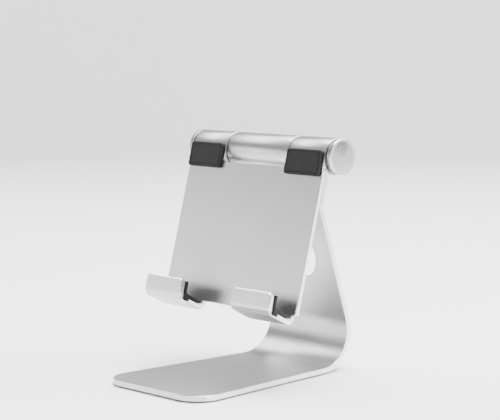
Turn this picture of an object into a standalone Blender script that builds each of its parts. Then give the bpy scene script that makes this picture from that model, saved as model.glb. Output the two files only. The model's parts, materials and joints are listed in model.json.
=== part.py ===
# Tablet stand: a base and arm bent from one aluminium sheet, a three-knuckle friction hinge across
# the arm's top, and a tilting cradle with two J-shaped hooks that hold the tablet's lower edge.
# Frame: +X to the right, +Y to the rear, +Z up; the origin is on the desk, under the stand's middle.
import math

import bmesh
import bpy

MM = 0.001

# Sheet metal
SHEET = 3.0 * MM
EDGE_CHAMFER = 0.45 * MM
GAP = 0.3 * MM

# Base and arm
FOOT_HEIGHT = 1.0 * MM
BASE_FRONT_Y = -67.2 * MM
BEND_START_Y = 42.5 * MM
BEND_RADIUS = 23.2 * MM          # of the sheet's middle
ARM_LEAN = math.radians(15.5)    # forward of upright
BEND_TO_HINGE = 105.3 * MM       # up the arm, from the bend's end to the hinge axis
AXIS_AHEAD = 6.9 * MM            # from the arm's middle plane forward to the hinge axis
FRONT_HALF_WIDTH = 41.2 * MM
SIDE_TAPER = 0.064               # half-width lost for each unit of sheet length
CORNER_RADIUS = 16.0 * MM
CABLE_HOLE_RADIUS = 15.5 * MM
CABLE_HOLE_DROP = 67.0 * MM      # below the hinge axis, along the arm
ARM_TOP = -9.8 * MM              # the sheet ends this far below the hinge axis

# Hinge
BARREL_RADIUS = 10.8 * MM
CENTRE_HALF_LENGTH = 24.9 * MM
KNUCKLE_GAP = 1.2 * MM
OUTER_KNUCKLE_END = 54.6 * MM
SHAFT_RADIUS = 4.0 * MM
SHAFT_CLEARANCE = 0.1 * MM
BUSH_RADIUS = 6.0 * MM
BUSH_LENGTH = 12.0 * MM
POCKET_RADIUS = 8.0 * MM         # holds the nut and springs in each outer knuckle
POCKET_FLOOR_X = 41.0 * MM
LEAF_THICKNESS = 3.0 * MM
LEAF_DROP = 28.0 * MM            # below the axis
CAP_END_X = 58.5 * MM

# Cradle, in its own frame on the hinge axis
CRADLE_TILT = math.radians(15.35)
PLATE_HALF_WIDTH = 55.0 * MM
PLATE_TOP = -9.4 * MM
PLATE_SCREW_BITE = 1.8 * MM     # depth of the cradle screws in the plate
HOOK_INNER_X = 21.0 * MM
HOOK_OUTER_X = 52.0 * MM
REAR_BEND_RADIUS = 2.7 * MM      # of the sheet's middle, from plate to ledge
FRONT_BEND_RADIUS = 4.0 * MM     # of the sheet's middle, from ledge to lip
HOOK_BEND_Z = -95.4 * MM         # centre of the rear bend
LEDGE_RISE = math.radians(12.0)  # the ledge rises to the front, so a device slides back
LEDGE_LENGTH = 13.2 * MM         # straight stretch between the hook's two bends
LIP_HEIGHT = 7.5 * MM            # straight stretch above the front bend
HOOK_ROOT = 1.0 * MM             # the plate's lower edge, above the rear bend's centre
PAD_THICKNESS = 2.2 * MM
PAD_TOP = 1.1 * MM
PAD_BOTTOM = -13.9 * MM
LINER_THICKNESS = 1.4 * MM
LINER_CORNER = 2.2 * MM          # filled corner between ledge and lip
LINER_TAB = 4.2 * MM             # length of the tabs that grip the hook's two side edges
LINER_TAB_WALL = 0.6 * MM
LINER_TAB_START = -1.5 * MM      # from the front bend's end, towards the rear

# Fasteners and feet
SCREW_RADIUS = 1.5 * MM
SCREW_HEAD_RADIUS = 2.9 * MM
SCREW_HEAD_HEIGHT = 1.6 * MM
SCREW_TIP = 0.3 * MM
ARM_SCREW_SHORT = 0.4 * MM       # the arm screws end this far inside the leaf's front face
ARM_SCREW_X = 14.0 * MM
ARM_SCREW_DROP = 19.0 * MM
CRADLE_SCREWS_X = (33.5 * MM, 47.5 * MM)
CRADLE_SCREW_DROP = 19.5 * MM
FOOT_RADIUS = 6.0 * MM
FRONT_FOOT = (29.0 * MM, -52.0 * MM)
REAR_FOOT = (25.0 * MM, 33.0 * MM)

BEYOND = 5.0 * MM                # how far a cutting tool runs past the face it opens

ROUND_STEPS = 48
SMALL_STEPS = 32
SCREW_STEPS = 20
FOLD_STEPS = 14
MERGE = 0.00001

# Places that follow from the dimensions
lean_sin, lean_cos = math.sin(ARM_LEAN), math.cos(ARM_LEAN)
bend_centre = (BEND_START_Y, FOOT_HEIGHT + SHEET / 2 + BEND_RADIUS)
flat_length = BEND_START_Y - BASE_FRONT_Y
bend_angle = math.pi / 2 + ARM_LEAN
bend_length = BEND_RADIUS * bend_angle
hinge_y = bend_centre[0] + (BEND_RADIUS - AXIS_AHEAD) * lean_cos - BEND_TO_HINGE * lean_sin
hinge_z = bend_centre[1] + (BEND_RADIUS - AXIS_AHEAD) * lean_sin + BEND_TO_HINGE * lean_cos
arm_front = AXIS_AHEAD - SHEET / 2
arm_rear = AXIS_AHEAD + SHEET / 2
plate_front = -BARREL_RADIUS
plate_rear = plate_front + SHEET
plate_middle = plate_front + SHEET / 2
outer_start_x = CENTRE_HALF_LENGTH + KNUCKLE_GAP

model = bpy.data.collections.new("tablet_stand")
cutters = bpy.data.collections.new("cutters")


def clear_scene():
    for old in list(bpy.data.objects):
        bpy.data.objects.remove(old, do_unlink=True)
    for collection in (model, cutters):
        bpy.context.scene.collection.children.link(collection)


def material(name, colour, roughness, metallic):
    made = bpy.data.materials.new(name)
    made.use_nodes = True
    shader = made.node_tree.nodes["Principled BSDF"]
    shader.inputs["Base Color"].default_value = (*colour, 1.0)
    shader.inputs["Roughness"].default_value = roughness
    shader.inputs["Metallic"].default_value = metallic
    return made


def add_object(name, mesh, finish=None, parent=None, place=(0, 0, 0), turn=(0, 0, 0)):
    piece = bpy.data.objects.new(name, mesh)
    piece.location = place
    piece.rotation_euler = turn
    piece.parent = parent
    if finish:
        mesh.materials.append(finish)
        model.objects.link(piece)
    else:
        piece.hide_render = True
        piece.display_type = "WIRE"
        cutters.objects.link(piece)
    return piece


def turned(name, profile, finish=None, steps=ROUND_STEPS, closed=False, **placing):
    """Revolve (radius, height) points about Z; the profile runs down its outer side."""
    mesh = bpy.data.meshes.new(name)
    work = bmesh.new()
    points = [work.verts.new((radius, 0, height)) for radius, height in profile]
    for first, second in zip(points, points[1:]):
        work.edges.new((first, second))
    if closed:
        work.edges.new((points[-1], points[0]))
    work.to_mesh(mesh)
    work.free()
    piece = add_object(name, mesh, finish, **placing)
    spin = piece.modifiers.new("revolve", "SCREW")
    spin.axis = "Z"
    spin.steps = steps
    spin.render_steps = steps
    spin.use_merge_vertices = True
    spin.merge_threshold = MERGE
    spin.use_smooth_shade = True
    return piece


def ring(name, inner, outer, low, high, finish=None, **options):
    profile = [(outer, high), (outer, low), (inner, low), (inner, high)]
    return turned(name, profile, finish, closed=True, **options)


def cylinder(name, radius, low, high, finish=None, **options):
    profile = [(0, high), (radius, high), (radius, low), (0, low)]
    return turned(name, profile, finish, **options)


def arc(centre, radius, start, end, steps):
    """Points on a circular arc, both ends included; angles in radians."""
    turns = [start + (end - start) * i / steps for i in range(steps + 1)]
    return [(centre[0] + radius * math.cos(turn), centre[1] + radius * math.sin(turn)) for turn in turns]


def extruded(name, outlines, length, finish, **placing):
    """A mesh made from a flat outline and its holes, extruded along the outline's own Z."""
    curve = bpy.data.curves.new(name, "CURVE")
    curve.dimensions = "2D"
    curve.fill_mode = "BOTH"
    curve.extrude = length / 2
    for outline in outlines:
        spline = curve.splines.new("POLY")
        spline.points.add(len(outline) - 1)
        for point, (u, v) in zip(spline.points, outline):
            point.co = (u, v, 0, 1)
        spline.use_cyclic_u = True
    drawn = bpy.data.objects.new(name + "_outline", curve)
    cutters.objects.link(drawn)
    evaluated = drawn.evaluated_get(bpy.context.evaluated_depsgraph_get())
    mesh = bpy.data.meshes.new_from_object(evaluated)
    bpy.data.objects.remove(drawn, do_unlink=True)
    work = bmesh.new()
    work.from_mesh(mesh)
    bmesh.ops.remove_doubles(work, verts=work.verts, dist=MERGE)
    bmesh.ops.recalc_face_normals(work, faces=work.faces)
    work.to_mesh(mesh)
    work.free()
    mesh.materials.clear()
    mesh.name = name
    mesh.shade_smooth()
    mesh.set_sharp_from_angle(angle=math.radians(35))
    return add_object(name, mesh, finish, **placing)


def cut(piece, *tools):
    for tool in tools:
        change = piece.modifiers.new(tool.name, "BOOLEAN")
        change.operation = "DIFFERENCE"
        change.object = tool
        change.solver = "EXACT"


def chamfer(piece, width=EDGE_CHAMFER):
    bevel = piece.modifiers.new("chamfer", "BEVEL")
    bevel.width = width
    bevel.segments = 1
    bevel.limit_method = "ANGLE"
    bevel.angle_limit = math.radians(60)


def thicken(piece):
    wall = piece.modifiers.new("sheet", "SOLIDIFY")
    wall.thickness = SHEET
    wall.offset = 0
    wall.use_even_offset = True


def empty(name, place, turn):
    axis = bpy.data.objects.new(name, None)
    axis.location = place
    axis.rotation_euler = turn
    axis.empty_display_size = BARREL_RADIUS
    model.objects.link(axis)
    return axis


def screw_profile(length):
    """A countersunk screw with its head's face at height 0, pointing down."""
    socket = SCREW_RADIUS * 0.75
    socket_depth = SCREW_HEAD_HEIGHT * 0.8
    return [
        (0, -socket_depth), (socket, -socket_depth), (socket, 0), (SCREW_HEAD_RADIUS, 0),
        (SCREW_RADIUS, -SCREW_HEAD_HEIGHT), (SCREW_RADIUS, SCREW_TIP - length),
        (SCREW_RADIUS - SCREW_TIP, -length), (0, -length),
    ]


def screw_hole(name, length, parent, place, turn):
    """The screw's own hole: its shape with the gap all round, open above the head."""
    head = SCREW_HEAD_RADIUS + GAP
    shank = SCREW_RADIUS + GAP
    profile = [
        (0, BEYOND), (head, BEYOND), (head, -GAP), (shank, -SCREW_HEAD_HEIGHT - GAP),
        (shank, -length - GAP), (0, -length - GAP),
    ]
    return turned(name, profile, steps=SCREW_STEPS, parent=parent, place=place, turn=turn)


def sheet_surface(name, columns, rows, keep, finish, parent=None):
    """An open grid: columns gives the x places in a row, rows places each row, keep picks faces."""
    mesh = bpy.data.meshes.new(name)
    work = bmesh.new()
    count_x, count_y = len(columns(rows[0])), len(rows)
    bmesh.ops.create_grid(work, x_segments=count_x - 1, y_segments=count_y - 1, size=1)
    work.verts.ensure_lookup_table()
    for index, vertex in enumerate(work.verts):
        row = rows[index // count_x]
        vertex.co = (columns(row)[index % count_x], row["y"], row["z"])
    unwanted = [face for face in work.faces if not keep(face.calc_center_median())]
    bmesh.ops.delete(work, geom=unwanted, context="FACES")
    bmesh.ops.recalc_face_normals(work, faces=work.faces)
    work.to_mesh(mesh)
    work.free()
    mesh.shade_smooth()
    mesh.set_sharp_from_angle(angle=math.radians(35))
    piece = add_object(name, mesh, finish, parent=parent)
    thicken(piece)
    return piece


def half_width(run):
    """Half-width of the flat blank at a distance from its front edge."""
    width = FRONT_HALF_WIDTH - SIDE_TAPER * run
    if run < CORNER_RADIUS:
        width -= CORNER_RADIUS - math.sqrt(CORNER_RADIUS**2 - (CORNER_RADIUS - run) ** 2)
    return width


def base_row(run):
    """Where a line across the blank ends up once the sheet is bent."""
    if run <= flat_length:
        return {"run": run, "y": BASE_FRONT_Y + run, "z": bend_centre[1] - BEND_RADIUS}
    turn = min(run - flat_length, bend_length) / BEND_RADIUS - math.pi / 2
    rest = max(run - flat_length - bend_length, 0)
    y = bend_centre[0] + BEND_RADIUS * math.cos(turn) - rest * lean_sin
    z = bend_centre[1] + BEND_RADIUS * math.sin(turn) + rest * lean_cos
    return {"run": run, "y": y, "z": z}


def make_base_arm(arm_axis, finish):
    corner_steps = 6
    turns = [math.pi / 2 * i / corner_steps for i in range(corner_steps + 1)]
    runs = [CORNER_RADIUS * (1 - math.cos(turn)) for turn in turns]
    runs += [flat_length + bend_length * i / FOLD_STEPS for i in range(FOLD_STEPS + 1)]
    runs += [flat_length + bend_length + BEND_TO_HINGE + ARM_TOP]

    def across(row):
        return (-half_width(row["run"]), half_width(row["run"]))

    rows = [base_row(run) for run in runs]
    base = sheet_surface("base_arm", across, rows, lambda centre: True, finish)
    reach = 4 * SHEET
    hole = cylinder(
        "cable_hole_cutter", CABLE_HOLE_RADIUS, -reach, reach, parent=arm_axis,
        place=(0, AXIS_AHEAD, -CABLE_HOLE_DROP), turn=(math.pi / 2, 0, 0),
    )
    cut(base, hole)
    return base


def make_centre_knuckle(arm_axis, finish):
    """A round barrel with a shoulder that caps the arm's top edge and a leaf in front of the arm."""
    shoulder = ARM_TOP + GAP
    leaf_rear = arm_front - GAP
    leaf_front = leaf_rear - LEAF_THICKNESS
    start = math.atan2(-math.sqrt(BARREL_RADIUS**2 - arm_rear**2), arm_rear)
    end = math.atan2(-math.sqrt(BARREL_RADIUS**2 - leaf_front**2), leaf_front) + 2 * math.pi
    outline = arc((0, 0), BARREL_RADIUS, start, end, ROUND_STEPS)
    outline += [(leaf_front, -LEAF_DROP), (leaf_rear, -LEAF_DROP)]
    outline += [(leaf_rear, shoulder), (arm_rear, shoulder)]
    bore = arc((0, 0), BUSH_RADIUS + GAP, 0, 2 * math.pi, SMALL_STEPS)[:-1]
    return extruded(
        "centre_knuckle", [outline, bore], 2 * CENTRE_HALF_LENGTH, finish,
        parent=arm_axis, turn=(math.pi / 2, 0, math.pi / 2),
    )


def make_outer_knuckle(side, cradle_axis, finish):
    """A barrel with a flat front that runs down to the plate, and a leaf behind the plate."""
    shoulder = PLATE_TOP + GAP
    leaf_front = plate_rear + GAP
    leaf_rear = leaf_front + LEAF_THICKNESS
    start = math.atan2(-math.sqrt(BARREL_RADIUS**2 - leaf_rear**2), leaf_rear)
    outline = arc((0, 0), BARREL_RADIUS, start, math.pi, ROUND_STEPS)
    outline += [(plate_front, shoulder), (leaf_front, shoulder)]
    outline += [(leaf_front, -LEAF_DROP), (leaf_rear, -LEAF_DROP)]
    bore = arc((0, 0), SHAFT_RADIUS + GAP, 0, 2 * math.pi, SMALL_STEPS)[:-1]
    name = "outer_knuckle_" + ("right" if side > 0 else "left")
    knuckle = extruded(
        name, [outline, bore], OUTER_KNUCKLE_END - outer_start_x, finish, parent=cradle_axis,
        place=(side * (OUTER_KNUCKLE_END + outer_start_x) / 2, 0, 0), turn=(math.pi / 2, 0, math.pi / 2),
    )
    pocket = cylinder(
        name + "_pocket_cutter", POCKET_RADIUS, POCKET_FLOOR_X, OUTER_KNUCKLE_END + BEYOND,
        steps=SMALL_STEPS, parent=cradle_axis, turn=(0, side * math.pi / 2, 0),
    )
    cut(knuckle, pocket)
    return knuckle


def hook_path():
    """The sheet's middle line down the plate and round the hook, and the front bend's centre."""
    path = [(plate_middle, PLATE_TOP), (plate_middle, HOOK_BEND_Z + HOOK_ROOT)]
    rear = (plate_middle - REAR_BEND_RADIUS, HOOK_BEND_Z)
    turn = math.pi / 2 + LEDGE_RISE
    steps = 8
    path += arc(rear, REAR_BEND_RADIUS, 0, -turn, steps)
    wider = FRONT_BEND_RADIUS - REAR_BEND_RADIUS
    front = (
        rear[0] - LEDGE_LENGTH * math.cos(LEDGE_RISE) + wider * math.sin(LEDGE_RISE),
        rear[1] + LEDGE_LENGTH * math.sin(LEDGE_RISE) + wider * math.cos(LEDGE_RISE),
    )
    path += arc(front, FRONT_BEND_RADIUS, -turn, -math.pi, steps)
    path += [(front[0] - FRONT_BEND_RADIUS, front[1] + LIP_HEIGHT)]
    return path, front


def make_cradle_plate(cradle_axis, finish):
    path, _ = hook_path()
    rows = [{"y": y, "z": z} for y, z in path]
    right_half = (HOOK_INNER_X, HOOK_OUTER_X, PLATE_HALF_WIDTH)
    places = [-x for x in reversed(right_half)] + list(right_half)

    def on_plate_or_hook(centre):
        on_plate = centre.z > HOOK_BEND_Z + HOOK_ROOT and centre.y > plate_front
        return on_plate or HOOK_INNER_X < abs(centre.x) < HOOK_OUTER_X

    return sheet_surface("cradle_plate", lambda row: places, rows, on_plate_or_hook, finish, cradle_axis)


def make_hook_liner(side, cradle_axis, finish):
    """A rubber strip along the hook's ledge, front bend and lip, with a tab over each side edge."""
    _, front = hook_path()
    outer = FRONT_BEND_RADIUS - SHEET / 2 - GAP
    bend = arc(front, outer, -math.pi, -math.pi / 2 - LEDGE_RISE, 6)
    back, rise = math.cos(LEDGE_RISE), math.sin(LEDGE_RISE)
    reach = LEDGE_LENGTH - 1 * MM
    lip_top = front[1] + LIP_HEIGHT - 1 * MM
    inner_y = front[0] - outer + LINER_THICKNESS

    def on_ledge(distance, height):
        """A point behind the front bend, along the ledge and above its face."""
        y, z = bend[-1]
        return (y + back * distance + rise * height, z - rise * distance + back * height)

    corner = on_ledge(LINER_CORNER, LINER_THICKNESS)
    outline = [(front[0] - outer, lip_top)] + bend
    outline += [on_ledge(reach, 0), on_ledge(reach, LINER_THICKNESS)]
    outline += [corner, (inner_y, corner[1] + LINER_CORNER), (inner_y, lip_top)]
    width = HOOK_OUTER_X - HOOK_INNER_X + 2 * (GAP + LINER_TAB_WALL)
    placing = {"parent": cradle_axis, "turn": (math.pi / 2, 0, math.pi / 2)}
    middle = side * (HOOK_INNER_X + HOOK_OUTER_X) / 2
    name = "hook_liner_" + ("right" if side > 0 else "left")
    liner = extruded(name, [outline], width, finish, place=(middle, 0, 0), **placing)
    below = -SHEET + EDGE_CHAMFER
    above = LINER_THICKNESS / 2
    tab_end = LINER_TAB_START + LINER_TAB
    tab = [(LINER_TAB_START, below), (tab_end, below), (tab_end, above), (LINER_TAB_START, above)]
    tab = [on_ledge(distance, height) for distance, height in tab]
    for end in (-1, 1):
        place = (middle + end * (width - LINER_TAB_WALL) / 2, 0, 0)
        piece = extruded(f"{name}_tab_{end}", [tab], LINER_TAB_WALL, None, place=place, **placing)
        join = liner.modifiers.new("tab", "BOOLEAN")
        join.operation = "UNION"
        join.object = piece
        join.solver = "EXACT"


def make_upper_pad(side, cradle_axis, finish):
    inset = 0.6 * MM
    width = OUTER_KNUCKLE_END - outer_start_x - 2 * inset
    height = PAD_TOP - PAD_BOTTOM
    work = bmesh.new()
    bmesh.ops.create_cube(work, size=1)
    bmesh.ops.scale(work, vec=(width, PAD_THICKNESS, height), verts=work.verts)
    mesh = bpy.data.meshes.new("upper_pad")
    work.to_mesh(mesh)
    work.free()
    place = (
        side * (OUTER_KNUCKLE_END + outer_start_x) / 2,
        plate_front - GAP - PAD_THICKNESS / 2,
        (PAD_TOP + PAD_BOTTOM) / 2,
    )
    name = "upper_pad_" + ("right" if side > 0 else "left")
    pad = add_object(name, mesh, finish, parent=cradle_axis, place=place)
    chamfer(pad, 0.5 * MM)
    return pad


def make_shaft(cradle_axis, finish):
    """A steel pin with a flat head in the left pocket and a plain end for the nut in the right one."""
    head_radius = 7.0 * MM
    head_start = POCKET_FLOOR_X + GAP
    head_end = head_start + 3 * MM
    end = 51.8 * MM
    tip = 0.6 * MM
    profile = [
        (0, end), (SHAFT_RADIUS - tip, end), (SHAFT_RADIUS, end - tip),
        (SHAFT_RADIUS, -head_start), (head_radius, -head_start), (head_radius, -head_end),
        (0, -head_end),
    ]
    return turned("hinge_shaft", profile, finish, SMALL_STEPS, parent=cradle_axis, turn=(0, math.pi / 2, 0))


def make_clamp_stack(cradle_axis, steel, bronze):
    """Washer, two disc springs and a hexagon nut that press the knuckles together."""
    along_x = {"parent": cradle_axis, "turn": (0, math.pi / 2, 0)}
    inner = SHAFT_RADIUS + GAP
    outer = 7.3 * MM
    low = POCKET_FLOOR_X + GAP
    high = low + 1.0 * MM
    ring("thrust_washer", inner, outer, low, high, steel, steps=SMALL_STEPS, **along_x)
    spring_thickness = 0.8 * MM
    dish = 0.5 * MM
    for number in (1, 2):
        low = high + GAP
        high = low + spring_thickness + dish
        inner_lift = dish if number == 1 else 0
        outer_lift = dish - inner_lift
        profile = [
            (outer, low + outer_lift + spring_thickness), (outer, low + outer_lift),
            (inner, low + inner_lift), (inner, low + inner_lift + spring_thickness),
        ]
        turned(f"disc_spring_{number}", profile, steel, SMALL_STEPS, closed=True, **along_x)
    low = high + GAP
    high = low + 4.8 * MM
    corner = 12.5 * MM / math.sqrt(3)
    hexagon = arc((0, 0), corner, 0, 2 * math.pi, 6)[:-1]
    bore = arc((0, 0), inner, 0, 2 * math.pi, SMALL_STEPS)[:-1]
    extruded(
        "lock_nut", [hexagon, bore], high - low, steel, parent=cradle_axis,
        place=((low + high) / 2, 0, 0), turn=(math.pi / 2, 0, math.pi / 2),
    )
    for side, name in ((-1, "left"), (1, "right")):
        washer_low = CENTRE_HALF_LENGTH + GAP
        washer_high = outer_start_x - GAP
        ring(
            "friction_washer_" + name, inner, 9.6 * MM, washer_low, washer_high, bronze,
            steps=SMALL_STEPS, parent=cradle_axis, turn=(0, side * math.pi / 2, 0),
        )


def make_bush(side, arm_axis, finish):
    high = CENTRE_HALF_LENGTH - GAP
    name = "bush_" + ("right" if side > 0 else "left")
    ring(
        name, SHAFT_RADIUS + SHAFT_CLEARANCE, BUSH_RADIUS, high - BUSH_LENGTH, high, finish,
        steps=SMALL_STEPS, parent=arm_axis, turn=(0, side * math.pi / 2, 0),
    )


def make_end_cap(side, cradle_axis, finish):
    """A turned disc with a narrower neck behind it and a hollow spigot in the knuckle's pocket."""
    neck_low = OUTER_KNUCKLE_END + GAP
    disc_low = neck_low + 1.0 * MM
    neck_radius = BARREL_RADIUS - 1.0 * MM
    spigot_radius = POCKET_RADIUS - GAP
    spigot_low = neck_low - 2.6 * MM
    hollow_radius = spigot_radius - 1.4 * MM
    edge = 0.5 * MM
    profile = [
        (0, CAP_END_X), (BARREL_RADIUS - edge, CAP_END_X), (BARREL_RADIUS, CAP_END_X - edge),
        (BARREL_RADIUS, disc_low), (neck_radius, disc_low), (neck_radius, neck_low),
        (spigot_radius, neck_low), (spigot_radius, spigot_low), (hollow_radius, spigot_low),
        (hollow_radius, disc_low), (0, disc_low),
    ]
    name = "end_cap_" + ("right" if side > 0 else "left")
    turned(name, profile, finish, parent=cradle_axis, turn=(0, side * math.pi / 2, 0))


def make_arm_screws(arm_axis, base, knuckle, finish):
    """Two screws from behind, through the arm into the centre knuckle's leaf."""
    length = SHEET + LEAF_THICKNESS - ARM_SCREW_SHORT
    for side, name in ((-1, "left"), (1, "right")):
        place = (side * ARM_SCREW_X, arm_rear, -ARM_SCREW_DROP)
        spot = {"parent": arm_axis, "place": place, "turn": (-math.pi / 2, 0, 0)}
        hole = screw_hole(f"arm_screw_{name}_cutter", SHEET + LEAF_THICKNESS + 2 * MM, **spot)
        cut(base, hole)
        cut(knuckle, hole)
        turned("arm_screw_" + name, screw_profile(length), finish, SCREW_STEPS, **spot)


def make_cradle_screws(cradle_axis, plate, knuckles, finish):
    """Four screws from behind, through the outer knuckles' leaves into blind holes in the plate."""
    leaf_rear = plate_rear + GAP + LEAF_THICKNESS
    length = LEAF_THICKNESS + GAP + PLATE_SCREW_BITE
    for side, name in ((-1, "left"), (1, "right")):
        for place, x in zip(("inner", "outer"), CRADLE_SCREWS_X):
            head = (side * x, leaf_rear, -CRADLE_SCREW_DROP)
            spot = {"parent": cradle_axis, "place": head, "turn": (-math.pi / 2, 0, 0)}
            hole = screw_hole(f"cradle_screw_{name}_{place}_cutter", length, **spot)
            cut(plate, hole)
            cut(knuckles[side], hole)
            turned(f"cradle_screw_{name}_{place}", screw_profile(length), finish, SCREW_STEPS, **spot)


def make_feet(finish):
    edge = 0.2 * MM
    top = FOOT_HEIGHT - GAP
    profile = [(0, top), (FOOT_RADIUS, top), (FOOT_RADIUS, edge), (FOOT_RADIUS - edge, 0), (0, 0)]
    for row, (x, y) in (("front", FRONT_FOOT), ("rear", REAR_FOOT)):
        for side, name in ((-1, "left"), (1, "right")):
            turned(f"foot_{row}_{name}", profile, finish, SMALL_STEPS, place=(side * x, y, 0))


def build():
    clear_scene()
    blasted = material("blasted_aluminium", (0.62, 0.62, 0.63), 0.42, 1.0)
    spun = material("spun_aluminium", (0.70, 0.70, 0.71), 0.25, 1.0)
    steel = material("steel", (0.45, 0.45, 0.47), 0.30, 1.0)
    bronze = material("washer_bronze", (0.55, 0.40, 0.22), 0.40, 1.0)
    rubber = material("black_rubber", (0.02, 0.02, 0.02), 0.75, 0.0)

    arm_axis = empty("arm_axis", (0, hinge_y, hinge_z), (ARM_LEAN, 0, 0))
    cradle_axis = empty("cradle_axis", (0, hinge_y, hinge_z), (-CRADLE_TILT, 0, 0))

    base = make_base_arm(arm_axis, blasted)
    centre_knuckle = make_centre_knuckle(arm_axis, blasted)
    plate = make_cradle_plate(cradle_axis, blasted)
    knuckles = {side: make_outer_knuckle(side, cradle_axis, blasted) for side in (-1, 1)}
    make_arm_screws(arm_axis, base, centre_knuckle, steel)
    make_cradle_screws(cradle_axis, plate, knuckles, steel)
    make_shaft(cradle_axis, steel)
    make_clamp_stack(cradle_axis, steel, bronze)
    for side in (-1, 1):
        make_bush(side, arm_axis, bronze)
        make_end_cap(side, cradle_axis, spun)
        make_upper_pad(side, cradle_axis, rubber)
        make_hook_liner(side, cradle_axis, rubber)
    make_feet(rubber)
    chamfer(base)
    chamfer(plate)


build()
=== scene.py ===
import json
import math

import bmesh
import bpy
from mathutils import Matrix, Vector


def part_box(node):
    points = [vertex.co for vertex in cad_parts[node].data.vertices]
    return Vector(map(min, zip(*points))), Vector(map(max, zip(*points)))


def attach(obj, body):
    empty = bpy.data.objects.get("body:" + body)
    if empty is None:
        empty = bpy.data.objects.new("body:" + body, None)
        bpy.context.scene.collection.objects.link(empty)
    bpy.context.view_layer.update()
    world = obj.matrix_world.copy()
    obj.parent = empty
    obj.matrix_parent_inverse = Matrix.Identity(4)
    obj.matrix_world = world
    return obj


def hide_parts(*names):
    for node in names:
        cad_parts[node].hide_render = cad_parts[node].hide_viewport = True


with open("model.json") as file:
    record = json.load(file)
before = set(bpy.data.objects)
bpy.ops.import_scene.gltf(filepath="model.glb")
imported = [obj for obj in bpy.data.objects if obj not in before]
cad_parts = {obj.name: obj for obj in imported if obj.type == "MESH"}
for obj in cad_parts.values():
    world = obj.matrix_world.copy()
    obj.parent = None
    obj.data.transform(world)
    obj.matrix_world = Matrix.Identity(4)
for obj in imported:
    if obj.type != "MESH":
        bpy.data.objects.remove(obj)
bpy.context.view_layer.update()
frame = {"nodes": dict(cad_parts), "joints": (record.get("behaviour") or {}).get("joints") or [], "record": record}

mm = 0.001
record = frame["record"]

# both frames have their origin on the hinge axis; one leans with the arm and one with the cradle
hingeJoint = frame["joints"][0]
hingePoint = Vector(hingeJoint["pos_m"])
restFace = next(mount for mount in record["mounts"] if mount["name"] == "device_back_left")
cradleTilt = math.atan2(restFace["axis"][2], -restFace["axis"][1])
armLean = math.radians(15.5)
cradleFrame = Matrix.Translation(hingePoint) @ Matrix.Rotation(-cradleTilt, 4, "X")
armFrame = Matrix.Translation(hingePoint) @ Matrix.Rotation(armLean, 4, "X")

# moves used at the bench: select, pull, fold, cut, soften


def makeActive(piece):
    bpy.ops.object.select_all(action="DESELECT")
    piece.select_set(True)
    bpy.context.view_layer.objects.active = piece


def startEdit(piece):
    makeActive(piece)
    bpy.ops.object.mode_set(mode="EDIT")


def endEdit():
    bpy.ops.object.mode_set(mode="OBJECT")


def pickFaces(piece, test):
    bpy.ops.mesh.select_mode(type="FACE")
    bpy.ops.mesh.select_all(action="DESELECT")
    work = bmesh.from_edit_mesh(piece.data)
    for face in work.faces:
        face.select_set(bool(test(face.calc_center_median(), face.normal)))
    bmesh.update_edit_mesh(piece.data)


def pickEdges(piece, test):
    bpy.ops.mesh.select_mode(type="EDGE")
    bpy.ops.mesh.select_all(action="DESELECT")
    work = bmesh.from_edit_mesh(piece.data)
    for edge in work.edges:
        first, second = (corner.co for corner in edge.verts)
        if test((first + second) / 2, (second - first).normalized()):
            edge.select_set(True)
    bmesh.update_edit_mesh(piece.data)


def bakePlace(piece, place=None):  # the place goes into the mesh, the object stays at the origin
    makeActive(piece)
    if place is not None:
        piece.matrix_world = place @ piece.matrix_world
    bpy.ops.object.transform_apply(location=True, rotation=True, scale=True)
    return piece


def addBox(name, low, high):
    bpy.ops.object.select_all(action="DESELECT")
    middle = [(a + b) / 2 for a, b in zip(low, high)]
    bpy.ops.mesh.primitive_cube_add(size=1, location=middle)
    piece = bpy.context.active_object
    piece.name = name
    piece.scale = [b - a for a, b in zip(low, high)]
    return bakePlace(piece)


def addRod(name, radius, low, high, steps=96, corner=0.0):  # along X, from low to high
    bpy.ops.object.select_all(action="DESELECT")
    bpy.ops.mesh.primitive_cylinder_add(
        vertices=steps, radius=radius, depth=high - low, location=((low + high) / 2, 0, 0),
        rotation=(corner, math.pi / 2, 0),
    )
    rod = bpy.context.active_object
    rod.name = name
    return bakePlace(rod)


def pull(step):
    bpy.ops.mesh.extrude_region_move(TRANSFORM_OT_translate={"value": step})


def turnSelected(angle, centre, sense=1):
    bpy.ops.transform.rotate(
        value=angle * sense, orient_axis="X", orient_type="GLOBAL", center_override=(0, centre[0], centre[1])
    )


def findSense():  # with no window the turn runs the other way
    probe = addBox("probe", (0, 1, 0), (1, 2, 1))
    startEdit(probe)
    bpy.ops.mesh.select_all(action="SELECT")
    turnSelected(0.1, (0, 0))
    endEdit()
    lift = max(corner.co.z for corner in probe.data.vertices)
    bpy.data.objects.remove(probe, do_unlink=True)
    return 1 if lift > 1.05 else -1


turnSense = findSense()


def fold(angle, centre, steps, narrow=None):  # the picked end faces follow a bend about an X axis
    for step in range(steps):
        pull((0, 0, 0))
        turnSelected(angle / steps, centre, turnSense)
        if narrow:
            ratio = narrow((step + 1) / steps) / narrow(step / steps)
            bpy.ops.transform.resize(value=(ratio, 1, 1), center_override=(0, 0, 0))


def drawLine(name, points):  # a corner dragged from point to point leaves a line of edges
    bpy.ops.object.select_all(action="DESELECT")
    bpy.ops.mesh.primitive_plane_add(size=1 * mm, location=points[0])
    piece = bpy.context.active_object
    piece.name = name
    bakePlace(piece)
    startEdit(piece)
    bpy.ops.mesh.select_mode(type="VERT")
    bpy.ops.mesh.select_all(action="SELECT")
    bpy.ops.mesh.merge(type="CENTER")
    for start, end in zip(points, points[1:]):
        pull([b - a for a, b in zip(start, end)])
    return piece


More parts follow.
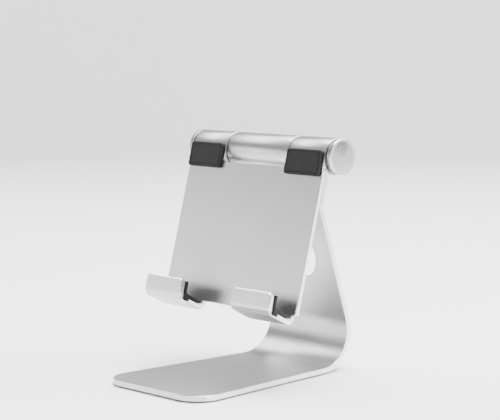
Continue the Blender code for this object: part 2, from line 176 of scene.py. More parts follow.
def extrudeOutline(name, outline, low, high):  # outline is a list of (y, z), pulled along X
    piece = drawLine(name, [(low, y, z) for y, z in outline])
    bpy.ops.mesh.select_all(action="SELECT")
    bpy.ops.mesh.edge_face_add()
    bpy.ops.mesh.select_mode(type="FACE")
    bpy.ops.mesh.select_all(action="SELECT")
    pull((high - low, 0, 0))
    bpy.ops.mesh.select_all(action="SELECT")
    bpy.ops.mesh.normals_make_consistent(inside=False)
    endEdit()
    return piece


def spinProfile(name, profile, steps):  # profile is a list of (x, radius), spun round the X axis
    piece = drawLine(name, [(x, radius, 0) for x, radius in profile])
    bpy.ops.mesh.select_all(action="SELECT")
    bpy.ops.mesh.spin(steps=steps, angle=2 * math.pi, center=(0, 0, 0), axis=(1, 0, 0))
    bpy.ops.mesh.select_all(action="SELECT")
    bpy.ops.mesh.remove_doubles(threshold=0.004 * mm)
    bpy.ops.mesh.normals_make_consistent(inside=False)
    endEdit()
    return piece


def arcPoints(centre, radius, start, end, steps):
    angles = [start + (end - start) * i / steps for i in range(steps + 1)]
    return [(centre[0] + radius * math.cos(a), centre[1] + radius * math.sin(a)) for a in angles]


def applyModifier(piece, modifier):
    makeActive(piece)
    bpy.ops.object.modifier_apply(modifier=modifier.name)


def cutWith(piece, tool, operation="DIFFERENCE"):  # the tool is used up
    change = piece.modifiers.new("cut", "BOOLEAN")
    change.operation = operation
    change.object = tool
    change.material_mode = "INDEX"
    applyModifier(piece, change)
    bpy.data.objects.remove(tool, do_unlink=True)


def softenEdges(piece, width, segments=1, slot=-1, limit=50):
    bevel = piece.modifiers.new("edges", "BEVEL")
    bevel.width = width
    bevel.segments = segments
    bevel.limit_method = "ANGLE"
    bevel.angle_limit = math.radians(limit)
    bevel.material = slot
    bevel.use_clamp_overlap = True
    applyModifier(piece, bevel)


def paintFaces(piece, slot, test):  # faces that pass the test take the finish in that slot
    startEdit(piece)
    pickFaces(piece, test)
    piece.active_material_index = slot
    bpy.ops.object.material_slot_assign()
    endEdit()


def giveMaterials(piece, *materials):
    indices = [face.material_index for face in piece.data.polygons]
    piece.data.materials.clear()
    for material in materials:
        piece.data.materials.append(material)
    for face, index in zip(piece.data.polygons, indices):
        face.material_index = min(index, len(materials) - 1)


def finishPiece(piece, body, node, slot, *materials):
    giveMaterials(piece, *materials)
    makeActive(piece)
    bpy.ops.object.shade_smooth_by_angle(angle=math.radians(30))
    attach(piece, body)
    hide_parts(node)
    return piece


def copyPiece(piece, name, place=None):
    twin = piece.copy()
    twin.data = piece.data.copy()
    twin.name = name
    bpy.context.scene.collection.objects.link(twin)
    if place is not None:
        bakePlace(twin, place)
    return twin


def mirrorCopy(piece, name):  # across the stand's middle plane
    twin = copyPiece(piece, name)
    startEdit(twin)
    bpy.ops.mesh.select_all(action="SELECT")
    bpy.ops.transform.resize(value=(-1, 1, 1), center_override=(0, 0, 0))
    bpy.ops.mesh.normals_make_consistent(inside=False)
    endEdit()
    return twin


# surface effects shared by several finishes, each a node group


def addNode(tree, kind, **settings):
    node = tree.nodes.new(kind)
    for key, value in settings.items():
        setattr(node, key, value)
    return node


def makeGroup(name, entries, exits):
    group = bpy.data.node_groups.new(name, "ShaderNodeTree")
    for label, kind, value in entries:
        socket = group.interface.new_socket(name=label, in_out="INPUT", socket_type="NodeSocket" + kind)
        if value is not None:
            socket.default_value = value
    for label in exits:
        group.interface.new_socket(name=label, in_out="OUTPUT", socket_type="NodeSocketFloat")
    return group, addNode(group, "NodeGroupInput"), addNode(group, "NodeGroupOutput")


def calculate(tree, operation, first, second=None, third=None, clamp=False):
    node = addNode(tree, "ShaderNodeMath", operation=operation, use_clamp=clamp)
    for place, value in enumerate((first, second, third)):
        if isinstance(value, (int, float)):
            node.inputs[place].default_value = value
        elif value is not None:
            tree.links.new(value, node.inputs[place])
    return node.outputs[0]


def scaled(tree, coordinates, size):  # coordinates counted in steps of one size
    node = addNode(tree, "ShaderNodeVectorMath", operation="SCALE")
    tree.links.new(coordinates, node.inputs[0])
    tree.links.new(calculate(tree, "DIVIDE", 1.0, size), node.inputs["Scale"])
    return node.outputs[0]


def noise(tree, coordinates, scale=1.0, detail=2.0, roughness=0.5, distortion=0.0):
    node = addNode(tree, "ShaderNodeTexNoise")
    tree.links.new(coordinates, node.inputs["Vector"])
    settings = {"Scale": scale, "Detail": detail, "Roughness": roughness, "Distortion": distortion}
    for label, value in settings.items():
        node.inputs[label].default_value = value
    return node.outputs["Fac"]


def spread(tree, value, low, high, newLow=0.0, newHigh=1.0):
    node = addNode(tree, "ShaderNodeMapRange", interpolation_type="SMOOTHSTEP")
    tree.links.new(value, node.inputs["Value"])
    for label, amount in (("From Min", low), ("From Max", high), ("To Min", newLow), ("To Max", newHigh)):
        node.inputs[label].default_value = amount
    return node.outputs[0]


def makeBeadBlast():  # dimples left by fine beads, and a coarser unevenness in the anodised skin
    group, entry, leave = makeGroup(
        "beadBlast", [("Coordinates", "Vector", None), ("Grain", "Float", 0.0002)], ["Height", "Speckle"]
    )
    fine = scaled(group, entry.outputs["Coordinates"], entry.outputs["Grain"])
    dimple = addNode(group, "ShaderNodeTexVoronoi", feature="SMOOTH_F1")
    dimple.inputs["Smoothness"].default_value = 0.6
    dimple.inputs["Scale"].default_value = 1.0
    group.links.new(fine, dimple.inputs["Vector"])
    coarse = noise(group, fine, scale=0.31, detail=3.0, roughness=0.6)
    height = calculate(group, "MULTIPLY_ADD", coarse, 0.7, dimple.outputs["Distance"])
    group.links.new(height, leave.inputs["Height"])
    group.links.new(noise(group, fine, scale=0.55, detail=2.0, roughness=0.7), leave.inputs["Speckle"])
    return group


def makeHandling():  # soft patches where fingers and cloths have been
    group, entry, leave = makeGroup(
        "handling", [("Coordinates", "Vector", None), ("Patch", "Float", 0.03)], ["Smudge", "Wipe"]
    )
    wide = scaled(group, entry.outputs["Coordinates"], entry.outputs["Patch"])
    cloud = noise(group, wide, scale=1.0, detail=4.0, roughness=0.55, distortion=0.4)
    group.links.new(spread(group, cloud, 0.42, 0.68), leave.inputs["Smudge"])
    stretched = addNode(group, "ShaderNodeMapping")
    stretched.inputs["Scale"].default_value = (0.7, 4.0, 1.6)
    group.links.new(wide, stretched.inputs["Vector"])
    wipe = noise(group, stretched.outputs[0], scale=3.0, detail=3.0, roughness=0.6, distortion=0.6)
    group.links.new(spread(group, wipe, 0.5, 0.75), leave.inputs["Wipe"])
    return group


def makeEdgeWear():  # bare metal along the corners, broken up by a fine noise
    group, entry, leave = makeGroup(
        "edgeWear", [("Coordinates", "Vector", None), ("Reach", "Float", 0.0004)], ["Wear"]
    )
    rounded = addNode(group, "ShaderNodeBevel", samples=6)
    group.links.new(entry.outputs["Reach"], rounded.inputs["Radius"])
    flat = addNode(group, "ShaderNodeNewGeometry")
    facing = addNode(group, "ShaderNodeVectorMath", operation="DOT_PRODUCT")
    group.links.new(rounded.outputs[0], facing.inputs[0])
    group.links.new(flat.outputs["Normal"], facing.inputs[1])
    corner = spread(group, facing.outputs["Value"], 0.995, 0.86)
    chips = scaled(group, entry.outputs["Coordinates"], 0.0009)
    broken = noise(group, chips, scale=1.0, detail=4.0, roughness=0.65)
    patchy = spread(group, broken, 0.38, 0.66)
    group.links.new(calculate(group, "MULTIPLY", corner, patchy), leave.inputs["Wear"])
    return group


def makeTurnedRings():  # fine grooves round the hinge axis from the lathe
    group, entry, leave = makeGroup(
        "turnedRings",
        [("Coordinates", "Vector", None), ("Centre", "Vector", (0, 0, 0)), ("Pitch", "Float", 0.0001)],
        ["Height", "Tone"],
    )
    offset = addNode(group, "ShaderNodeVectorMath", operation="SUBTRACT")
    group.links.new(entry.outputs["Coordinates"], offset.inputs[0])
    group.links.new(entry.outputs["Centre"], offset.inputs[1])
    flat = addNode(group, "ShaderNodeVectorMath", operation="MULTIPLY")
    flat.inputs[1].default_value = (0, 1, 1)
    group.links.new(offset.outputs[0], flat.inputs[0])
    radius = addNode(group, "ShaderNodeVectorMath", operation="LENGTH")
    group.links.new(flat.outputs[0], radius.inputs[0])
    turns = calculate(group, "DIVIDE", radius.outputs["Value"], entry.outputs["Pitch"])
    for label, scale, detail in (("Height", 1.0, 3.0), ("Tone", 0.23, 4.0)):
        groove = addNode(group, "ShaderNodeTexNoise", noise_dimensions="1D")
        group.links.new(turns, groove.inputs["W"])
        groove.inputs["Scale"].default_value = scale
        groove.inputs["Detail"].default_value = detail
        groove.inputs["Roughness"].default_value = 0.7
        group.links.new(groove.outputs["Fac"], leave.inputs[label])
    return group


def makeRubberSkin():  # moulded silicone: tiny pores over a faint orange peel
    group, entry, leave = makeGroup(
        "rubberSkin", [("Coordinates", "Vector", None), ("Grain", "Float", 0.0003)], ["Height", "Pores"]
    )
    fine = scaled(group, entry.outputs["Coordinates"], entry.outputs["Grain"])
    peel = noise(group, fine, scale=0.4, detail=3.0, roughness=0.55)
    speck = noise(group, fine, scale=1.7, detail=2.0, roughness=0.8)
    pores = spread(group, speck, 0.3, 0.45)
    group.links.new(calculate(group, "MULTIPLY_ADD", peel, 0.6, pores), leave.inputs["Height"])
    group.links.new(pores, leave.inputs["Pores"])
    return group


def makeSettledDust():  # a little dust on what faces up
    group, entry, leave = makeGroup("settledDust", [("Coordinates", "Vector", None)], ["Dust"])
    facing = addNode(group, "ShaderNodeSeparateXYZ")
    geometry = addNode(group, "ShaderNodeNewGeometry")
    group.links.new(geometry.outputs["Normal"], facing.inputs[0])
    upward = spread(group, facing.outputs["Z"], 0.35, 0.95)
    small = scaled(group, entry.outputs["Coordinates"], 0.0016)
    flecks = noise(group, small, scale=1.0, detail=6.0, roughness=0.75)
    drift = spread(group, flecks, 0.5, 0.72)
    group.links.new(calculate(group, "MULTIPLY", upward, drift), leave.inputs["Dust"])
    return group


beadBlast, handling, edgeWear = makeBeadBlast(), makeHandling(), makeEdgeWear()
turnedRings, rubberSkin, settledDust = makeTurnedRings(), makeRubberSkin(), makeSettledDust()
print("shared surface effects made")

# finishes


def startMaterial(name, roughness=0.4, metallic=1.0, **sockets):
    material = bpy.data.materials.new(name)
    material.use_nodes = True
    tree = material.node_tree
    shader = tree.nodes["Principled BSDF"]
    shader.inputs["Roughness"].default_value = roughness
    shader.inputs["Metallic"].default_value = metallic
    for label, value in sockets.items():
        shader.inputs[label].default_value = value
    coordinates = addNode(tree, "ShaderNodeTexCoord").outputs["Object"]
    return material, tree, shader, coordinates


def useGroup(tree, group, coordinates, **values):
    node = addNode(tree, "ShaderNodeGroup", node_tree=group)
    tree.links.new(coordinates, node.inputs["Coordinates"])
    for label, value in values.items():
        node.inputs[label].default_value = value
    return node.outputs


def blendColours(tree, amount, first, second):
    node = addNode(tree, "ShaderNodeMix", data_type="RGBA")
    tree.links.new(amount, node.inputs["Factor"])
    for place, colour in ((6, first), (7, second)):
        if isinstance(colour, tuple):
            node.inputs[place].default_value = (*colour, 1.0)
        else:
            tree.links.new(colour, node.inputs[place])
    return node.outputs[2]


def addRelief(tree, shader, height, depth, strength=1.0):
    bump = addNode(tree, "ShaderNodeBump")
    bump.inputs["Distance"].default_value = depth
    bump.inputs["Strength"].default_value = strength
    tree.links.new(height, bump.inputs["Height"])
    tree.links.new(bump.outputs[0], shader.inputs["Normal"])


def partOf(tree, mask, share):
    return calculate(tree, "MULTIPLY", mask, share)


dustColour = (0.62, 0.61, 0.60)


def makeMetal(name, look):  # every bare or anodised metal here is a mix of the same effects
    material, tree, shader, coordinates = startMaterial(name, look["roughness"])
    grain = useGroup(tree, beadBlast, coordinates, Grain=look["grain"])
    hands = useGroup(tree, handling, coordinates, Patch=look["patch"])
    wear = useGroup(tree, edgeWear, coordinates, Reach=look["wearReach"])
    dust = useGroup(tree, settledDust, coordinates)
    speckled = blendColours(tree, grain["Speckle"], look["dark"], look["light"])
    smudged = blendColours(tree, partOf(tree, hands["Smudge"], look["smudge"]), speckled, look["film"])
    worn = blendColours(tree, partOf(tree, wear["Wear"], look["wear"]), smudged, look["bare"])
    dusty = blendColours(tree, partOf(tree, dust["Dust"], look["dust"]), worn, dustColour)
    tree.links.new(dusty, shader.inputs["Base Color"])
    gloss = calculate(tree, "MULTIPLY_ADD", hands["Smudge"], look["smudgeGloss"], look["roughness"])
    gloss = calculate(tree, "MULTIPLY_ADD", hands["Wipe"], look["wipeGloss"], gloss)
    gloss = calculate(tree, "MULTIPLY_ADD", dust["Dust"], look["dust"] * 0.5, gloss)
    gloss = calculate(tree, "MULTIPLY_ADD", wear["Wear"], -look["wear"] * 0.2, gloss, clamp=True)
    tree.links.new(gloss, shader.inputs["Roughness"])
    height = grain["Height"]
    if "pitch" in look:
        rings = useGroup(tree, turnedRings, coordinates, Centre=tuple(hingePoint), Pitch=look["pitch"])
        height = calculate(tree, "MULTIPLY_ADD", rings["Height"], look["ringDepth"], grain["Height"])
    if "spun" in look:  # light gathers in two fans across a face turned on the lathe
        shader.inputs["Anisotropic"].default_value = look["spun"]
        around = addNode(tree, "ShaderNodeTangent", direction_type="RADIAL", axis="X")
        tree.links.new(around.outputs[0], shader.inputs["Tangent"])
    addRelief(tree, shader, height, look["relief"])
    return material


metalLooks = {
    "blastedAluminium": dict(
        roughness=0.31, grain=0.16 * mm, patch=34 * mm, wearReach=0.35 * mm, light=(0.57, 0.57, 0.575),
        dark=(0.46, 0.46, 0.47), film=(0.50, 0.50, 0.505), bare=(0.82, 0.82, 0.82), smudge=0.35, wear=0.35,
        dust=0.05, smudgeGloss=0.035, wipeGloss=-0.03, relief=0.012 * mm,
    ),
    "cutEdge": dict(  # the chamfer milled through the anodised skin, left bright
        roughness=0.20, grain=0.10 * mm, patch=9 * mm, wearReach=0.15 * mm, light=(0.86, 0.86, 0.86),
        dark=(0.77, 0.77, 0.775), film=(0.84, 0.84, 0.85), bare=(0.95, 0.95, 0.95), smudge=0.2, wear=0.2,
        dust=0.02, smudgeGloss=0.06, wipeGloss=0.04, relief=0.002 * mm,
    ),
    "sawnEdgePaintedHighlight": dict(  # the sheet's side faces that face X, brushed along the cut and left brighter than the front and corner faces of the same edge as a painted highlight
        roughness=0.30, grain=0.12 * mm, patch=14 * mm, wearReach=0.2 * mm, light=(0.86, 0.86, 0.86),
        dark=(0.76, 0.76, 0.765), film=(0.74, 0.74, 0.745), bare=(0.92, 0.92, 0.92), smudge=0.25, wear=0.2,
        dust=0.02, smudgeGloss=0.05, wipeGloss=0.04, relief=0.005 * mm,
    ),
    "spunAluminium": dict(
        roughness=0.27, grain=0.10 * mm, patch=11 * mm, wearReach=0.3 * mm, light=(0.42, 0.42, 0.425),
        dark=(0.29, 0.29, 0.295), film=(0.34, 0.34, 0.345), bare=(0.85, 0.85, 0.85), smudge=0.25, wear=0.3,
        dust=0.03, smudgeGloss=0.07, wipeGloss=0.03, relief=0.004 * mm, pitch=0.11 * mm, ringDepth=3.0,
        spun=0.75,
    ),
    "darkScrewSteel": dict(
        roughness=0.30, grain=0.12 * mm, patch=4 * mm, wearReach=0.2 * mm, light=(0.34, 0.34, 0.35),
        dark=(0.24, 0.24, 0.25), film=(0.22, 0.22, 0.23), bare=(0.62, 0.62, 0.63), smudge=0.4, wear=0.8,
        dust=0.10, smudgeGloss=0.1, wipeGloss=0.05, relief=0.003 * mm,
    ),
    "turnedSteel": dict(
        roughness=0.26, grain=0.12 * mm, patch=6 * mm, wearReach=0.2 * mm, light=(0.60, 0.60, 0.61),
        dark=(0.47, 0.47, 0.485), film=(0.40, 0.39, 0.37), bare=(0.75, 0.75, 0.75), smudge=0.5, wear=0.5,
        dust=0.0, smudgeGloss=0.12, wipeGloss=0.06, relief=0.003 * mm, pitch=0.16 * mm, ringDepth=2.0,
    ),
    "bearingBronze": dict(
        roughness=0.34, grain=0.14 * mm, patch=5 * mm, wearReach=0.2 * mm, light=(0.66, 0.45, 0.22),
        dark=(0.50, 0.32, 0.15), film=(0.34, 0.22, 0.11), bare=(0.80, 0.60, 0.34), smudge=0.5, wear=0.6,
        dust=0.0, smudgeGloss=0.1, wipeGloss=0.05, relief=0.004 * mm, pitch=0.2 * mm, ringDepth=1.5,
    ),
}
metals = {name: makeMetal(name, look) for name, look in metalLooks.items()}

rubberLook = dict(
    roughness=0.66, grain=0.28 * mm, deep=(0.004, 0.004, 0.0045), pale=(0.011, 0.011, 0.012),
    rubbed=(0.03, 0.03, 0.032), dusty=(0.14, 0.135, 0.13), dust=0.2, relief=0.03 * mm, shine=0.22,
    patch=7 * mm, wearReach=0.4 * mm, wear=0.5, smudgeGloss=-0.10, dustGloss=0.2,
)


def makeRubber(name, look):
    material, tree, shader, coordinates = startMaterial(name, look["roughness"], 0.0)
    shader.inputs["Specular IOR Level"].default_value = look["shine"]
    skin = useGroup(tree, rubberSkin, coordinates, Grain=look["grain"])
    hands = useGroup(tree, handling, coordinates, Patch=look["patch"])
    wear = useGroup(tree, edgeWear, coordinates, Reach=look["wearReach"])
    dust = useGroup(tree, settledDust, coordinates)
    body = blendColours(tree, skin["Pores"], look["deep"], look["pale"])
    polished = blendColours(tree, partOf(tree, wear["Wear"], look["wear"]), body, look["rubbed"])
    dulled = blendColours(tree, partOf(tree, dust["Dust"], look["dust"]), polished, look["dusty"])
    tree.links.new(dulled, shader.inputs["Base Color"])
    gloss = calculate(tree, "MULTIPLY_ADD", hands["Smudge"], look["smudgeGloss"], look["roughness"])
    gloss = calculate(tree, "MULTIPLY_ADD", dust["Dust"], look["dustGloss"], gloss, clamp=True)
    tree.links.new(gloss, shader.inputs["Roughness"])
    addRelief(tree, shader, skin["Height"], look["relief"])
    return material


blackRubber = makeRubber("blackRubber", rubberLook)
blasted, cutEdge, sawnEdgePaintedHighlight = metals["blastedAluminium"], metals["cutEdge"], metals["sawnEdgePaintedHighlight"]
print("finishes made:", len(bpy.data.materials))

# base and arm: one sheet, cut wide at the front, folded up and forward

baseArmPlan = dict(
    thickness=3.0 * mm, lowFace=1.0 * mm, frontY=-67.2 * mm, bendStartY=42.5 * mm, bendRadius=23.2 * mm,
    straight=95.5 * mm, frontHalfWidth=41.2 * mm, taper=0.064, cornerRadius=16.0 * mm, cornerSteps=28,
    bendSteps=56, holeRadius=15.5 * mm, holeAlongArm=(6.9 * mm, -67.0 * mm), screwX=14.0 * mm,
    screwAlongArm=(8.4 * mm, -19.0 * mm), chamfer=0.45 * mm,
)
screwPlan = dict(
    headRadius=2.9 * mm, headHeight=1.6 * mm, shankRadius=1.5 * mm, gap=0.3 * mm, socketAcross=2.2 * mm,
    socketDepth=1.25 * mm, topEdge=0.12 * mm, armLength=5.6 * mm, cradleLength=5.1 * mm, steps=48,
    holeLead=3 * mm, throughHole=8 * mm, pitch=0.5 * mm, threadDepth=0.16 * mm, threadStart=0.3 * mm,
    threadEnd=0.6 * mm, pointLength=0.25 * mm, pointDrop=0.3 * mm,
)


def screwPlace(hinge, x, along):  # screws stand on X in the making; this lays one in, driven forward
    return hinge @ Matrix.Translation((x, along[0], along[1])) @ Matrix.Rotation(-math.pi / 2, 4, "Z")


def screwHole(length, place):
    plan = screwPlan
    head, shank = plan["headRadius"] + plan["gap"], plan["shankRadius"] + plan["gap"]
    deep = plan["headHeight"] + plan["gap"]
    lead = -plan["holeLead"]
    profile = [(lead, 0), (lead, head), (plan["gap"], head), (deep, shank), (length, shank), (length, 0)]
    return bakePlace(spinProfile("screwHoleTool", profile, plan["steps"]), place)


def buildBaseArm():
    plan = baseArmPlan
    flatLength = plan["bendStartY"] - plan["frontY"]
    bendAngle = math.pi / 2 + armLean
    bendLength = plan["bendRadius"] * bendAngle
    centre = (plan["bendStartY"], plan["lowFace"] + plan["thickness"] / 2 + plan["bendRadius"])

    def halfWidth(run):
        return plan["frontHalfWidth"] - plan["taper"] * run

    sheet = addBox(
        "baseArm", (-plan["frontHalfWidth"], plan["frontY"], plan["lowFace"]),
        (plan["frontHalfWidth"], plan["bendStartY"], plan["lowFace"] + plan["thickness"]),
    )
    startEdit(sheet)
    pickFaces(sheet, lambda spot, normal: normal.y > 0.9)
    taper = halfWidth(flatLength) / halfWidth(0)
    bpy.ops.transform.resize(value=(taper, 1, 1), center_override=(0, 0, 0))
    fold(bendAngle, centre, plan["bendSteps"], lambda part: halfWidth(flatLength + bendLength * part))
    pull((0, -plan["straight"] * math.sin(armLean), plan["straight"] * math.cos(armLean)))
    top = halfWidth(flatLength + bendLength + plan["straight"]) / halfWidth(flatLength + bendLength)
    bpy.ops.transform.resize(value=(top, 1, 1), center_override=(0, 0, 0))
    pickEdges(sheet, lambda spot, line: spot.y < plan["frontY"] + mm and abs(line.z) > 0.9)
    corner = math.pi / 2 - math.atan(plan["taper"])
    bpy.ops.mesh.bevel(
        offset=plan["cornerRadius"] / math.tan(corner / 2), segments=plan["cornerSteps"], affect="EDGES"
    )
    endEdit()
    hole = addRod("cableHoleTool", plan["holeRadius"], -9 * mm, 9 * mm, 160)
    along = plan["holeAlongArm"]
    bakePlace(hole, armFrame @ Matrix.Translation((0, *along)) @ Matrix.Rotation(math.pi / 2, 4, "Z"))
    cutWith(sheet, hole)
    for side in (-1, 1):
        place = screwPlace(armFrame, side * plan["screwX"], plan["screwAlongArm"])
        cutWith(sheet, screwHole(screwPlan["throughHole"], place))
    giveMaterials(sheet, blasted, cutEdge, sawnEdgePaintedHighlight)
    # the side faces that face X take the brighter edge tone, a painted highlight; the front and corner faces keep
    # the blasted finish
    paintFaces(sheet, 2, lambda spot, normal: abs(normal.x) > 0.9)
    softenEdges(sheet, plan["chamfer"], 1, 1)
    return finishPiece(sheet, "stand", "base_arm", "blasted_aluminium", blasted, cutEdge, sawnEdgePaintedHighlight)


baseArm = buildBaseArm()
print("base and arm folded:", len(baseArm.data.polygons), "faces")

# hinge barrels: extruded sections with a bore, a leaf and a shoulder

barrelPlan = dict(
    radius=10.8 * mm, steps=120, centreHalf=24.9 * mm, centreBore=6.3 * mm, shoulder=-9.5 * mm,
    rearFlat=8.4 * mm, leafFront=2.1 * mm, leafRear=5.1 * mm, leafDrop=-28.0 * mm, outerStart=26.1 * mm,
    outerEnd=54.6 * mm, outerBore=4.3 * mm, pocketRadius=8.0 * mm, pocketFloor=41.0 * mm,
    outerShoulder=-9.1 * mm, outerLeafFront=-7.5 * mm, outerLeafRear=-4.5 * mm, edge=0.3 * mm,
    screwX=(33.5 * mm, 47.5 * mm), screwAlong=(-4.5 * mm, -19.5 * mm),
)


def buildCentreKnuckle():
    plan = barrelPlan
    radius, half = plan["radius"], plan["centreHalf"]
    start = math.atan2(-math.sqrt(radius**2 - plan["rearFlat"] ** 2), plan["rearFlat"])
    end = math.atan2(-math.sqrt(radius**2 - plan["leafFront"] ** 2), plan["leafFront"]) + 2 * math.pi
    outline = arcPoints((0, 0), radius, start, end, plan["steps"])
    outline += [(plan["leafFront"], plan["leafDrop"]), (plan["leafRear"], plan["leafDrop"])]
    outline += [(plan["leafRear"], plan["shoulder"]), (plan["rearFlat"], plan["shoulder"])]
    knuckle = extrudeOutline("centreKnuckle", outline, -half, half)
    cutWith(knuckle, addRod("boreTool", plan["centreBore"], -half - mm, half + mm))
    softenEdges(knuckle, plan["edge"], 2, 1)
    bakePlace(knuckle, armFrame)
    for side in (-1, 1):
        place = screwPlace(armFrame, side * baseArmPlan["screwX"], baseArmPlan["screwAlongArm"])
        cutWith(knuckle, screwHole(screwPlan["throughHole"], place))
    finishPiece(knuckle, "stand", "centre_knuckle", "blasted_aluminium", blasted, cutEdge)


def buildOuterKnuckles():
    plan = barrelPlan
    radius, front = plan["radius"], -plan["radius"]
    start = math.atan2(-math.sqrt(radius**2 - plan["outerLeafRear"] ** 2), plan["outerLeafRear"])
    outline = arcPoints((0, 0), radius, start, math.pi, plan["steps"])
    outline += [(front, plan["outerShoulder"]), (plan["outerLeafFront"], plan["outerShoulder"])]
    outline += [(plan["outerLeafFront"], plan["leafDrop"]), (plan["outerLeafRear"], plan["leafDrop"])]
    knuckle = extrudeOutline("outerKnuckleRight", outline, plan["outerStart"], plan["outerEnd"])
    cutWith(knuckle, addRod("boreTool", plan["outerBore"], plan["outerStart"] - mm, plan["outerEnd"] + mm))
    cutWith(knuckle, addRod("pocketTool", plan["pocketRadius"], plan["pocketFloor"], plan["outerEnd"] + mm))
    softenEdges(knuckle, plan["edge"], 2, 1)
    bakePlace(knuckle, cradleFrame)
    for x in plan["screwX"]:
        place = screwPlace(cradleFrame, x, plan["screwAlong"])
        cutWith(knuckle, screwHole(screwPlan["throughHole"], place))
    for side, piece in (("right", knuckle), ("left", mirrorCopy(knuckle, "outerKnuckleLeft"))):
        finishPiece(piece, "cradle", "outer_knuckle_" + side, "blasted_aluminium", blasted, cutEdge)


buildCentreKnuckle()
buildOuterKnuckles()
print("hinge barrels extruded and bored")

# cradle: a flat plate whose lower edge runs on into two folded hooks

cradlePlan = dict(
    halfWidth=55.0 * mm, front=-10.8 * mm, rear=-7.8 * mm, top=-9.4 * mm, low=-94.4 * mm,
    cornerRadius=1.6 * mm, hookX=(21.0 * mm, 52.0 * mm), rearBend=(-12.0 * mm, -95.4 * mm),
    frontBend=(-24.6368 * mm, -91.3840 * mm),
    ledgeRise=math.radians(12.0), ledgeLength=13.2 * mm, lipHeight=7.5 * mm, rearSteps=20, frontSteps=24,
    lipCorner=2.4 * mm, chamfer=0.45 * mm, frontBendRadius=4.0 * mm, halfSheet=1.5 * mm,
)


def buildCradlePlate():
    plan = cradlePlan
    plate = addBox(
        "cradlePlate", (-plan["halfWidth"], plan["front"], plan["low"]),
        (plan["halfWidth"], plan["rear"], plan["top"]),
    )
    startEdit(plate)
    for x in plan["hookX"]:
        for side in (-1, 1):
            bpy.ops.mesh.select_all(action="SELECT")
            bpy.ops.mesh.bisect(plane_co=(side * x, 0, 0), plane_no=(1, 0, 0))
    inner, outer = plan["hookX"]
    pickFaces(plate, lambda spot, normal: normal.z < -0.9 and inner < abs(spot.x) < outer)
    pull((0, 0, plan["rearBend"][1] - plan["low"]))
    rise = plan["ledgeRise"]
    fold(-(math.pi / 2 + rise), plan["rearBend"], plan["rearSteps"])
    pull((0, -plan["ledgeLength"] * math.cos(rise), plan["ledgeLength"] * math.sin(rise)))
    fold(-(math.pi / 2 - rise), plan["frontBend"], plan["frontSteps"])
    pull((0, 0, plan["lipHeight"]))
    lipTop = plan["frontBend"][1] + plan["lipHeight"]

    def atLipTop(spot, line):
        return abs(line.y) > 0.9 and spot.y < plan["frontBend"][0] and abs(spot.z - lipTop) < 0.1 * mm

    def atLowerCorner(spot, line):
        return abs(line.y) > 0.9 and abs(spot.x) > plan["halfWidth"] - 0.1 * mm and spot.z < -90 * mm

    pickEdges(plate, atLipTop)
    bpy.ops.mesh.bevel(offset=plan["lipCorner"], segments=10, affect="EDGES")
    pickEdges(plate, atLowerCorner)
    bpy.ops.mesh.bevel(offset=plan["cornerRadius"], segments=8, affect="EDGES")
    endEdit()
    giveMaterials(plate, blasted, cutEdge, sawnEdgePaintedHighlight)
    # the side faces that face X take the brighter edge tone, a painted highlight; the other faces keep the blasted
    # finish
    paintFaces(plate, 2, lambda spot, normal: abs(normal.x) > 0.9)
    softenEdges(plate, plan["chamfer"], 1, 1)
    bakePlace(plate, cradleFrame)
    for side in (-1, 1):
        for x in barrelPlan["screwX"]:
            place = screwPlace(cradleFrame, side * x, barrelPlan["screwAlong"])
            cutWith(plate, screwHole(screwPlan["cradleLength"] + screwPlan["gap"], place))
    return finishPiece(plate, "cradle", "cradle_plate", "blasted_aluminium", blasted, cutEdge, sawnEdgePaintedHighlight)


cradlePlate = buildCradlePlate()
print("cradle plate and hooks folded:", len(cradlePlate.data.polygons), "faces")

# screws: countersunk, with a hexagon socket


def buildScrew(name, length):
    plan = screwPlan
    head, shank, edge = plan["headRadius"], plan["shankRadius"], plan["topEdge"]
    profile = [(0, 0), (0, head - edge), (edge, head), (plan["headHeight"], shank)]
    pitch, depth, at = plan["pitch"], plan["threadDepth"], plan["headHeight"] + plan["threadStart"]
    while at < length - plan["threadEnd"]:  # the thread, as plain grooves
        profile += [(at, shank), (at + pitch / 2, shank - depth)]
        at += pitch
    profile += [(at, shank), (length - plan["pointLength"], shank)]
    profile += [(length, shank - plan["pointDrop"]), (length, 0)]
    screw = spinProfile(name, profile, plan["steps"])
    socket = addRod("socketTool", plan["socketAcross"] / math.sqrt(3), -mm, plan["socketDepth"], 6)
    cutWith(screw, socket)
    return screw


screwSteel = metals["darkScrewSteel"]
armScrew = buildScrew("armScrewPattern", screwPlan["armLength"])
cradleScrew = buildScrew("cradleScrewPattern", screwPlan["cradleLength"])
screwPlaces = []
for side, label in ((-1, "Left"), (1, "Right")):
    place = screwPlace(armFrame, side * baseArmPlan["screwX"], baseArmPlan["screwAlongArm"])
    screwPlaces.append(("armScrew" + label, armScrew, place, "stand", "arm_screw_" + label.lower()))
    for spot, x in zip(("Inner", "Outer"), barrelPlan["screwX"]):
        place = screwPlace(cradleFrame, side * x, barrelPlan["screwAlong"])
        node = f"cradle_screw_{label.lower()}_{spot.lower()}"
        screwPlaces.append(("cradleScrew" + label + spot, cradleScrew, place, "cradle", node))
for order, (name, pattern, place, body, node) in enumerate(screwPlaces):
    turn = Matrix.Rotation(math.radians(17 + 23 * order), 4, "X")  # no two screws stop at the same angle
    screw = copyPiece(pattern, name, place @ turn)
    finishPiece(screw, body, node, "steel", screwSteel)
for pattern in (armScrew, cradleScrew):
    bpy.data.objects.remove(pattern, do_unlink=True)
print("screws turned:", len(screwPlaces))

# end caps: turned discs with a narrow neck and a hollow spigot

capPlan = dict(
    face=58.5 * mm, radius=10.8 * mm, edge=0.5 * mm, discBack=55.9 * mm, neckRadius=9.8 * mm,
    neckBack=54.9 * mm, spigotRadius=7.7 * mm, spigotEnd=52.3 * mm, hollow=6.3 * mm, steps=144,
    facingRing=0.9 * mm, ringDepth=0.06 * mm, ringInner=0.15 * mm, ringFloor=0.1 * mm, ringOuter=0.25 * mm,
    backEdge=0.15 * mm,
)


